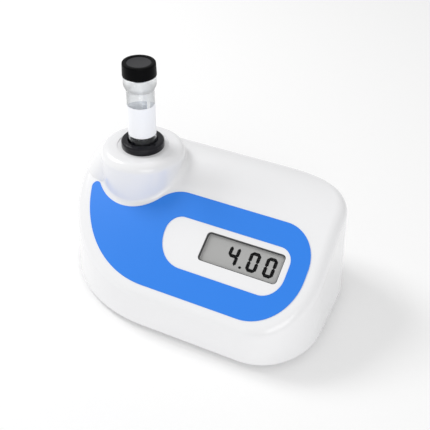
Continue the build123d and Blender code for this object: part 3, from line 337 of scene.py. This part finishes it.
class Paintshop:
    """Keeps one material for each finish and puts it on pieces and CAD nodes."""

    def __init__(self) -> None:
        """Build the shared effects and every finish."""
        effects = {"mould_texture": mould_texture(), "settled_dust": settled_dust()}
        self.materials = {slot: finish.material(effects) for slot, finish in FINISHES.items()}

    def paint(self, piece: bpy.types.Object, slot: str) -> None:
        """Put one finish on a whole object.

        Args:
            piece: The object.
            slot: The name of the finish.
        """
        if not piece.material_slots:
            piece.data.materials.append(self.materials[slot])
        for place in piece.material_slots:
            place.material = self.materials[slot]

    def paint_nodes(self) -> None:
        """Put its finish on every CAD node, by the slot that its record names."""
        slots = {row["node"]: row["material_slot"] for row in frame["record"]["subparts"]}
        for name, node in frame["nodes"].items():
            self.paint(node, slots[name])
            LOG.info("finished node %s as %s", name, slots[name])


def deselect() -> None:
    """Leave edit mode and select nothing."""
    if bpy.context.object and bpy.context.object.mode != "OBJECT":
        bpy.ops.object.mode_set(mode="OBJECT")
    bpy.ops.object.select_all(action="DESELECT")


def settle(piece: bpy.types.Object, name: str, angle: float = 32.0) -> None:
    """Name a finished piece, bring its origin to the frame's and smooth it.

    Args:
        piece: The piece.
        name: Its name.
        angle: The angle in degrees from which an edge stays sharp.
    """
    deselect()
    piece.name = name
    piece.data.name = name
    piece.select_set(True)
    bpy.context.view_layer.objects.active = piece
    bpy.ops.object.transform_apply(location=True, rotation=True, scale=True)
    bpy.ops.object.shade_smooth_by_angle(angle=math.radians(angle))
    piece.select_set(False)


def turned(
    name: str, rings: list[Ring], closed: bool, steps: int = 128, bevel: float = 0.0
) -> bpy.types.Object:
    """Turn a piece round the tube's axis, ring by ring.

    Args:
        name: The piece's name.
        rings: Radius and height of each ring, in millimetres.
        closed: True where the last ring meets the first, as round a bore.
        steps: How many faces go round.
        bevel: Width of the bevel on sharp edges, in millimetres.

    Returns:
        The finished piece.
    """
    deselect()
    x, y = (value * MM for value in TUBE_AXIS)
    radius, height = rings[0]
    fill = "NOTHING" if closed else "NGON"
    bpy.ops.mesh.primitive_circle_add(
        vertices=steps, radius=radius * MM, location=(x, y, height * MM), fill_type=fill
    )
    piece = bpy.context.object
    bpy.ops.object.mode_set(mode="EDIT")
    bpy.ops.mesh.select_all(action="SELECT")
    for wide, high in rings[1:]:
        if closed:
            bpy.ops.mesh.extrude_edges_move(TRANSFORM_OT_translate={"value": (0, 0, (high - height) * MM)})
        else:
            bpy.ops.mesh.extrude_region_move(TRANSFORM_OT_translate={"value": (0, 0, (high - height) * MM)})
        share = wide / radius
        bpy.ops.transform.resize(value=(share, share, 1.0), center_override=(x, y, high * MM))
        radius, height = wide, high
    bpy.ops.mesh.select_all(action="SELECT")
    bpy.ops.mesh.remove_doubles(threshold=WELD)
    bpy.ops.mesh.normals_make_consistent(inside=False)
    bpy.ops.object.mode_set(mode="OBJECT")
    if bevel > 0.0:
        soften(piece, bevel)
    settle(piece, name)
    return piece


def soften(piece: bpy.types.Object, width: float, segments: int = 3) -> None:
    """Round a piece's sharp edges with an applied bevel.

    Args:
        piece: The piece.
        width: The bevel's width in millimetres.
        segments: How many faces go across it.
    """
    deselect()
    piece.select_set(True)
    bpy.context.view_layer.objects.active = piece
    bevel = piece.modifiers.new("soft_edges", "BEVEL")
    bevel.width = width * MM
    bevel.segments = segments
    bevel.limit_method = "ANGLE"
    bevel.angle_limit = math.radians(BEVEL_FROM_ANGLE)
    bpy.ops.object.modifier_apply(modifier=bevel.name)


def placed(rings: tuple[Ring, ...], radius: float, height: float) -> list[Ring]:
    """Place rings that are given as steps away from a radius and a height.

    Args:
        rings: How much wider and higher each ring is.
        radius: The radius that they are given from.
        height: The height that they are given from.

    Returns:
        Radius and height of each ring.
    """
    return [(radius + wider, height + higher) for wider, higher in rings]


@dataclass
class Sleeve:
    """The black sleeve in the boss, turned with a wide flange.

    Attributes:
        bore: Radius of the hole for the tube.
        outer: Radius in the well.
        flange: Radius of the flange.
        low: Height of the lower end.
        seat: Height of the flange's underside.
        high: Height of the flange's top.
        lead_in: How much wider the mouth is than the hole.
        mouth_low: Height at which the mouth starts to narrow.
        bore_high: Height at which it has narrowed to the hole.
        rim: Slanted edge round the flange.
        lip: Slanted edge round the mouth.
        soft: Width of the bevel on the sharp edges.
    """

    bore: float = 8.08
    outer: float = 9.25
    flange: float = 12.55
    low: float = 38.1
    seat: float = 73.7
    high: float = 78.1
    lead_in: float = 0.6
    mouth_low: float = 74.9
    bore_high: float = 73.3
    rim: float = 0.8
    lip: float = 0.4
    soft: float = 0.18

    def build(self, shop: Paintshop) -> bpy.types.Object:
        """Turn the sleeve and set it on its body.

        Args:
            shop: The keeper of the finishes.

        Returns:
            The finished sleeve.
        """
        mouth = self.bore + self.lead_in
        rings = [
            (self.bore, self.low), (self.outer, self.low), (self.outer, self.seat), (self.flange, self.seat),
            (self.flange, self.high - self.rim), (self.flange - self.rim, self.high),
            (mouth + self.lip, self.high), (mouth, self.high - self.lip),
            (mouth, self.mouth_low), (self.bore, self.bore_high), (self.bore, self.low),
        ]
        piece = turned("sleeve_ring", rings, closed=True, bevel=self.soft)
        shop.paint(piece, "adapter")
        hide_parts("tube_adapter")
        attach(piece, Body.ADAPTER.value)
        return piece


@dataclass
class Tube:
    """The glass tube: a round bottom, a wide slanted collar and an open neck.

    Attributes:
        radius: Outer radius.
        wall: Thickness of the glass.
        bottom: Height of the bottom.
        collar_low: Height at which the collar starts.
        collar_top: Height of the collar's top.
        top: Height of the neck's end.
        neck: Outer radius of the neck.
        neck_bore: Inner radius of the neck and the collar.
        slant: Rings of the collar's slanted foot, from the tube's radius and the collar's start.
        shoulder: Rings of the collar's rounded top, from the tube's radius and the collar's top.
        funnel: Heights over the collar's start between which the hollow narrows to the neck.
        lip: Slanted edges at the neck's end.
        frost: How far past the collar's start and top its frosted faces reach.
        skin: How far inside the tube's radius a face still counts as an outer one.
        bend_steps: How many rings make the round bottom.
    """

    radius: float = 8.0
    wall: float = 1.0
    bottom: float = 20.0
    collar_low: float = 110.8
    collar_top: float = 118.5
    top: float = 123.5
    neck: float = 7.3
    neck_bore: float = 5.9
    slant: tuple[Ring, ...] = ((0.0, -0.6), (0.12, -0.1), (0.5, 0.6), (1.1, 2.0), (1.25, 2.6))
    shoulder: tuple[Ring, ...] = ((1.25, -0.6), (1.1, -0.2), (0.7, 0.0))
    funnel: tuple[float, float] = (-0.2, 2.4)
    lip: float = 0.3
    frost: tuple[float, float] = (-0.3, -0.1)
    skin: float = 0.02
    bend_steps: int = 10

    def bend(self, radius: float, upward: bool) -> list[Ring]:
        """Return the rings of the round bottom.

        Args:
            radius: Radius of the ball end.
            upward: True to run from the lowest point up.

        Returns:
            Radius and height of each ring.
        """
        centre = self.bottom + self.radius
        rings = []
        for step in range(1, self.bend_steps + 1):
            angle = math.radians(90.0) * step / self.bend_steps
            rings.append((radius * math.sin(angle), centre - radius * math.cos(angle)))
        return rings if upward else rings[::-1]

    def build(self, shop: Paintshop) -> bpy.types.Object:
        """Turn the tube, frost its collar and set it on its body.

        Args:
            shop: The keeper of the finishes.

        Returns:
            The finished tube.
        """
        bore = self.radius - self.wall
        rings = self.bend(self.radius, True)
        rings += placed(self.slant, self.radius, self.collar_low)
        rings += placed(self.shoulder, self.radius, self.collar_top)
        rings += [
            (self.neck, self.collar_top), (self.neck, self.top - self.lip), (self.neck - self.lip, self.top),
            (self.neck_bore + self.lip, self.top), (self.neck_bore, self.top - self.lip),
            (self.neck_bore, self.collar_low + self.funnel[1]), (bore, self.collar_low + self.funnel[0]),
        ]
        rings += self.bend(bore, False)
        piece = turned("glass_tube", rings, closed=False)
        shop.paint(piece, "glass")
        piece.data.materials.append(shop.materials["frost"])
        centre = Vector(TUBE_AXIS) * MM
        low, high = self.collar_low + self.frost[0], self.collar_top + self.frost[1]
        for face in piece.data.polygons:
            is_collar = low * MM < face.center.z < high * MM
            if is_collar and (face.center.xy - centre).length > (self.radius - self.skin) * MM:
                face.material_index = 1
        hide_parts("sample_tube")
        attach(piece, Body.TUBE.value)
        return piece


@dataclass
class Cap:
    """The black screw cap: slightly tapered, with a shallow dish in its top.

    Attributes:
        foot: Radius at the lower rim.
        head: Radius at the top.
        low: Height of the lower rim.
        high: Height of the top.
        dish: Radius of the dish.
        dish_depth: Depth of the dish.
        bore: Radius of the hollow over the neck.
        roof: Height of the hollow's top.
        middle: Radius of the small flat face in which the roof and the dish each end.
        roof_edge: Slanted edge between the hollow's wall and its roof.
        foot_edge: Slanted edge round the lower rim.
        crown: Rings of the rounded top edge, from the top's radius and height.
        dish_lip: Rings of the dish's upper edge, from its radius and the cap's top.
        dish_foot: Rings of the dish's lower edge, from its radius and its floor.
        disc_edge: How much narrower the paler disc is than the dish.
        skin: How far under the dish's floor a face still counts as a part of it.
    """

    foot: float = 9.6
    head: float = 9.35
    low: float = 118.8
    high: float = 126.5
    dish: float = 6.9
    dish_depth: float = 0.5
    bore: float = 7.55
    roof: float = 124.6
    middle: float = 0.4
    roof_edge: float = 0.2
    foot_edge: float = 0.35
    crown: tuple[Ring, ...] = ((0.03, -0.85), (-0.06, -0.45), (-0.3, -0.13), (-0.75, 0.0))
    dish_lip: tuple[Ring, ...] = ((0.3, 0.0), (0.05, -0.1))
    dish_foot: tuple[Ring, ...] = ((-0.15, 0.08), (-0.5, 0.0))
    disc_edge: float = 0.2
    skin: float = 0.05

    def build(self, shop: Paintshop) -> bpy.types.Object:
        """Turn the cap, pale the floor of its dish and set it on its body.

        Args:
            shop: The keeper of the finishes.

        Returns:
            The finished cap.
        """
        floor = self.high - self.dish_depth
        rings = [
            (self.middle, self.roof), (self.bore - self.roof_edge, self.roof),
            (self.bore, self.roof - self.roof_edge), (self.bore, self.low),
            (self.foot - self.foot_edge, self.low), (self.foot, self.low + self.foot_edge),
        ]
        rings += placed(self.crown, self.head, self.high)
        rings += placed(self.dish_lip, self.dish, self.high)
        rings += placed(self.dish_foot, self.dish, floor)
        rings += [(self.middle, floor)]
        piece = turned("screw_cap", rings, closed=False)
        shop.paint(piece, "cap")
        piece.data.materials.append(shop.materials["disc"])
        centre = Vector(TUBE_AXIS) * MM
        for face in piece.data.polygons:
            reach = (face.center.xy - centre).length
            if reach < (self.dish - self.disc_edge) * MM and face.center.z > (floor - self.skin) * MM:
                face.material_index = 1
        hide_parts("tube_cap")
        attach(piece, Body.CAP.value)
        return piece


@dataclass
class Panel:
    """The plane of the sloping panel, and the digits of its display.

    Attributes:
        low: A point on the plane's front edge, in millimetres.
        slope: The panel's slope in degrees.
        sink: How deep the digits lie under the panel.
        stroke: Width of a digit's bars.
        gap: Clear space between two bars' ends.
        thick: Thickness of a digit's bars.
        lefts: Places of the digits' left edges.
        foot: Place of the digits' lower edges, up the panel.
        head: Place of the digits' upper edges.
        width: Width of a digit.
        bars: The dark bars of each digit, by letter.
        dot: Ends of the short bar that is the point.
        dot_stroke: Width of that bar.
    """

    low: tuple[float, float, float] = (0.0, -55.0, 23.75)
    slope: float = 30.3
    sink: float = 2.05
    stroke: float = 1.9
    gap: float = 1.35
    thick: float = 0.06
    lefts: tuple[float, ...] = (26.3, 38.2, 47.9)
    foot: float = 33.8
    head: float = 45.5
    width: float = 6.3
    bars: tuple[str, ...] = ("fgbc", "abcdef", "abcdef")
    dot: tuple[Point, Point] = ((35.0, 34.6), (35.6, 34.6))
    dot_stroke: float = 1.4

    def lift(self) -> Matrix:
        """Return the matrix from the panel's own plane to the frame."""
        turn = Matrix.Rotation(math.radians(self.slope), 4, "X")
        return Matrix.Translation(Vector(self.low) * MM) @ turn

    def bar(self, ends: tuple[Point, Point], stroke: float, gap: float) -> bpy.types.Object:
        """Model one bar of a digit, pointed at both ends.

        Args:
            ends: Its two end points on the panel, in millimetres.
            stroke: Its width in millimetres.
            gap: How much it is shortened to stay clear of its neighbours.

        Returns:
            The bar, lying in the panel's own plane.
        """
        deselect()
        (x0, s0), (x1, s1) = ends
        length = math.hypot(x1 - x0, s1 - s0) + stroke - gap
        middle = ((x0 + x1) / 2 * MM, (s0 + s1) / 2 * MM, -self.sink * MM)
        bpy.ops.mesh.primitive_plane_add(size=1.0, location=(0, 0, 0))
        piece = bpy.context.object
        flat = length - stroke
        bpy.ops.object.mode_set(mode="EDIT")
        bpy.ops.mesh.select_all(action="SELECT")
        bpy.ops.transform.resize(value=(flat * MM, stroke * MM, 1.0), center_override=(0, 0, 0))
        bpy.ops.object.mode_set(mode="OBJECT")
        self.point_ends(piece, length / flat)
        angle = math.atan2(s1 - s0, x1 - x0)
        piece.matrix_world = self.lift() @ Matrix.Translation(middle) @ Matrix.Rotation(angle, 4, "Z")
        return piece

    def point_ends(self, piece: bpy.types.Object, share: float) -> None:
        """Draw both ends of a bar out to points and give it its thickness.

        Args:
            piece: The flat bar, along X.
            share: How much longer it is from point to point than along its sides.
        """
        shape = piece.data
        bpy.ops.object.mode_set(mode="EDIT")
        bpy.ops.mesh.select_mode(type="EDGE")
        bpy.ops.mesh.select_all(action="DESELECT")
        bpy.ops.object.mode_set(mode="OBJECT")
        for edge in shape.edges:
            first, second = (shape.vertices[index].co.x for index in edge.vertices)
            edge.select = abs(first - second) < SMALL
        bpy.ops.object.mode_set(mode="EDIT")
        bpy.ops.mesh.subdivide(number_cuts=1)
        bpy.ops.mesh.select_mode(type="VERT")
        bpy.ops.mesh.select_all(action="DESELECT")
        bpy.ops.object.mode_set(mode="OBJECT")
        for vertex in shape.vertices:
            vertex.select = abs(vertex.co.y) < SMALL
        bpy.ops.object.mode_set(mode="EDIT")
        bpy.ops.transform.resize(value=(share, 1.0, 1.0), center_override=(0, 0, 0))
        bpy.ops.object.mode_set(mode="OBJECT")
        solid = piece.modifiers.new("thickness", "SOLIDIFY")
        solid.thickness = self.thick * MM
        solid.offset = 0.0
        bpy.ops.object.modifier_apply(modifier=solid.name)

    def digit_bars(self, left: float, letters: str) -> list[tuple[Point, Point]]:
        """Return the ends of a digit's bars.

        Args:
            left: Place of its left edge.
            letters: Which of the seven bars are dark.

        Returns:
            Two end points on the panel for each dark bar.
        """
        inset = self.stroke / 2
        x0, x1 = left + inset, left + self.width - inset
        s0, s2 = self.foot + inset, self.head - inset
        s1 = (s0 + s2) / 2
        ends = {
            "a": ((x0, s2), (x1, s2)), "b": ((x1, s1), (x1, s2)), "c": ((x1, s0), (x1, s1)),
            "d": ((x0, s0), (x1, s0)), "e": ((x0, s0), (x0, s1)), "f": ((x0, s1), (x0, s2)),
            "g": ((x0, s1), (x1, s1)),
        }
        return [ends[letter] for letter in letters]

    def build(self, shop: Paintshop) -> bpy.types.Object:
        """Model the digits as one piece on the instrument.

        Args:
            shop: The keeper of the finishes.

        Returns:
            The digits and their point, joined.
        """
        pieces = [self.bar(self.dot, self.dot_stroke, 0.0)]
        for left, letters in zip(self.lefts, self.bars):
            for ends in self.digit_bars(left, letters):
                pieces.append(self.bar(ends, self.stroke, self.gap))
        deselect()
        for piece in pieces:
            piece.select_set(True)
        bpy.context.view_layer.objects.active = pieces[0]
        bpy.ops.object.join()
        whole = bpy.context.object
        settle(whole, "display_digits")
        shop.paint(whole, "digit")
        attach(whole, Body.INSTRUMENT.value)
        return whole


@dataclass(frozen=True)
class Lamp:
    """One soft square light.

    Attributes:
        name: Its name.
        place: Its place in metres.
        size: Its side in metres.
        power: Its power in watts.
    """

    name: str
    place: tuple[float, float, float]
    size: float
    power: float


@dataclass
class Studio:
    """The pale floor, the soft lights and the camera.

    Attributes:
        place: The camera's place in metres.
        right: The camera's right in the frame.
        up: The camera's up in the frame.
        back: The way from the picture to the camera.
        lens: Focal length in millimetres.
        sensor: Width of the camera's sensor in millimetres.
        clip: Nearest and farthest distance that it sees, in metres.
        lamps: The lights.
        aim: The point that every light faces, in metres.
        room_light: Strength of the even light all round.
        floor_size: Side of the floor in metres.
        floor_drop: How far it lies under the feet, in metres, so that it doesn't meet their faces.
        floor_tone: Its brightness.
        floor_roughness: Its roughness.
        floor_glow: Strength of its own faint light.
    """

    place: tuple[float, float, float] = (0.14185, -0.28954, 0.29756)
    right: tuple[float, float, float] = (0.903, 0.4293, 0.0174)
    up: tuple[float, float, float] = (-0.2763, 0.5491, 0.7888)
    back: tuple[float, float, float] = (0.3291, -0.717, 0.6144)
    lens: float = 59.49
    sensor: float = 36.0
    clip: tuple[float, float] = (0.01, 20.0)
    lamps: tuple[Lamp, ...] = (
        Lamp("key", (-0.75, 0.10, 0.85), 0.42, 5.0),
        Lamp("front", (0.70, -0.95, 0.60), 0.70, 3.6),
    )
    aim: tuple[float, float, float] = (0.0, 0.0, 0.04)
    room_light: float = 0.62
    floor_size: float = 8.0
    floor_drop: float = 0.0001
    floor_tone: float = 0.90
    floor_roughness: float = 0.9
    floor_glow: float = 0.10

    def camera(self) -> None:
        """Set the camera where the photograph was taken from."""
        data = bpy.data.cameras.new("camera")
        data.lens = self.lens
        data.sensor_width = self.sensor
        data.clip_start, data.clip_end = self.clip
        camera = bpy.data.objects.new("camera", data)
        bpy.context.scene.collection.objects.link(camera)
        turn = Matrix((self.right, self.up, self.back)).transposed().to_4x4()
        camera.matrix_world = Matrix.Translation(self.place) @ turn
        bpy.context.scene.camera = camera

    def floor(self) -> None:
        """Lay a wide pale floor that glows a little, as a light table does."""
        deselect()
        bpy.ops.mesh.primitive_plane_add(size=self.floor_size, location=(0, 0, -self.floor_drop))
        floor = bpy.context.object
        floor.name = "floor"
        material = bpy.data.materials.new("pale_floor")
        material.use_nodes = True
        shader = material.node_tree.nodes["Principled BSDF"]
        shader.inputs["Base Color"].default_value = (self.floor_tone, self.floor_tone, self.floor_tone, 1.0)
        shader.inputs["Roughness"].default_value = self.floor_roughness
        shader.inputs["Emission Color"].default_value = WHITE
        shader.inputs["Emission Strength"].default_value = self.floor_glow
        floor.data.materials.append(material)

    def light(self, lamp: Lamp) -> None:
        """Hang one light that faces the instrument.

        Args:
            lamp: The light's name, place, size and power.
        """
        data = bpy.data.lights.new(lamp.name, "AREA")
        data.shape = "SQUARE"
        data.size = lamp.size
        data.energy = lamp.power
        light = bpy.data.objects.new(lamp.name, data)
        bpy.context.scene.collection.objects.link(light)
        way = Vector(self.aim) - Vector(lamp.place)
        light.matrix_world = Matrix.Translation(lamp.place) @ way.to_track_quat("-Z", "Y").to_matrix().to_4x4()

    def sky(self) -> None:
        """Fill the room with even white light."""
        world = bpy.data.worlds.new("white_room")
        world.use_nodes = True
        shade = world.node_tree.nodes["Background"]
        shade.inputs["Color"].default_value = WHITE
        shade.inputs["Strength"].default_value = self.room_light
        bpy.context.scene.world = world

    def build(self) -> None:
        """Set up the whole studio."""
        bpy.context.scene.view_settings.view_transform = "Standard"
        self.sky()
        self.floor()
        for lamp in self.lamps:
            self.light(lamp)
        self.camera()


def main() -> None:
    """Finish the nodes, model the finer pieces and set up the studio."""
    logging.basicConfig(level=logging.INFO, format="%(message)s")
    shop = Paintshop()
    shop.paint_nodes()
    for part in (Sleeve(), Tube(), Cap(), Panel()):
        piece = part.build(shop)
        LOG.info("modelled %s", piece.name)
    Studio().build()


if __name__ == "__main__":
    main()
